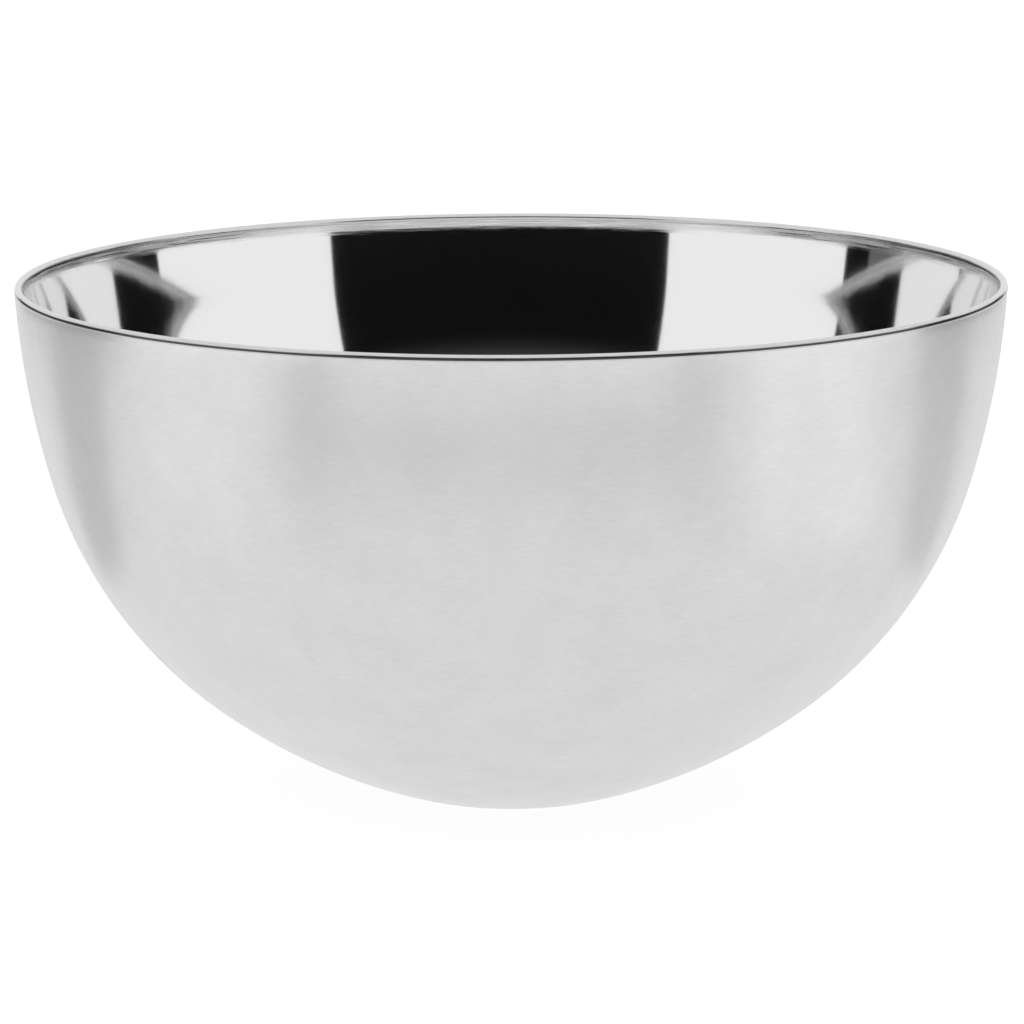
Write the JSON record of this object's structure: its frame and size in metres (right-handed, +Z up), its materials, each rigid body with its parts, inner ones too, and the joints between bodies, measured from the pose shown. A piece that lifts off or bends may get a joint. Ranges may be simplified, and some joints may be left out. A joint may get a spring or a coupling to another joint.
{
  "type": "shaving bowl",
  "caption": "Round double-walled steel shaving bowl with a brushed outside, a mirror-polished inside and a small flat base.",
  "frame": {"origin": "centre of the flat base, on the surface the bowl stands on", "axes": "+Z up along the bowl's axis, out of the mouth; the bowl is round, so X and Y are any two level directions at right angles"},
  "size_m": [0.12, 0.12, 0.0629],
  "materials": {
    "brushed_shell": "bare stainless steel, fine brushing round the axis",
    "polished_bowl": "bare stainless steel, mirror polished, not plated",
    "polished_weld": "stainless weld metal, ground round and polished",
    "plug_steel": "bare stainless steel, satin",
    "weld_steel": "stainless weld metal, as welded"
  },
  "bodies": {
    "root": {"outer_shell": "brushed_shell", "inner_bowl": "polished_bowl", "rim_bead": "polished_weld", "vent_plug": "plug_steel", "plug_weld": "weld_steel"}
  },
  "joints": []
}
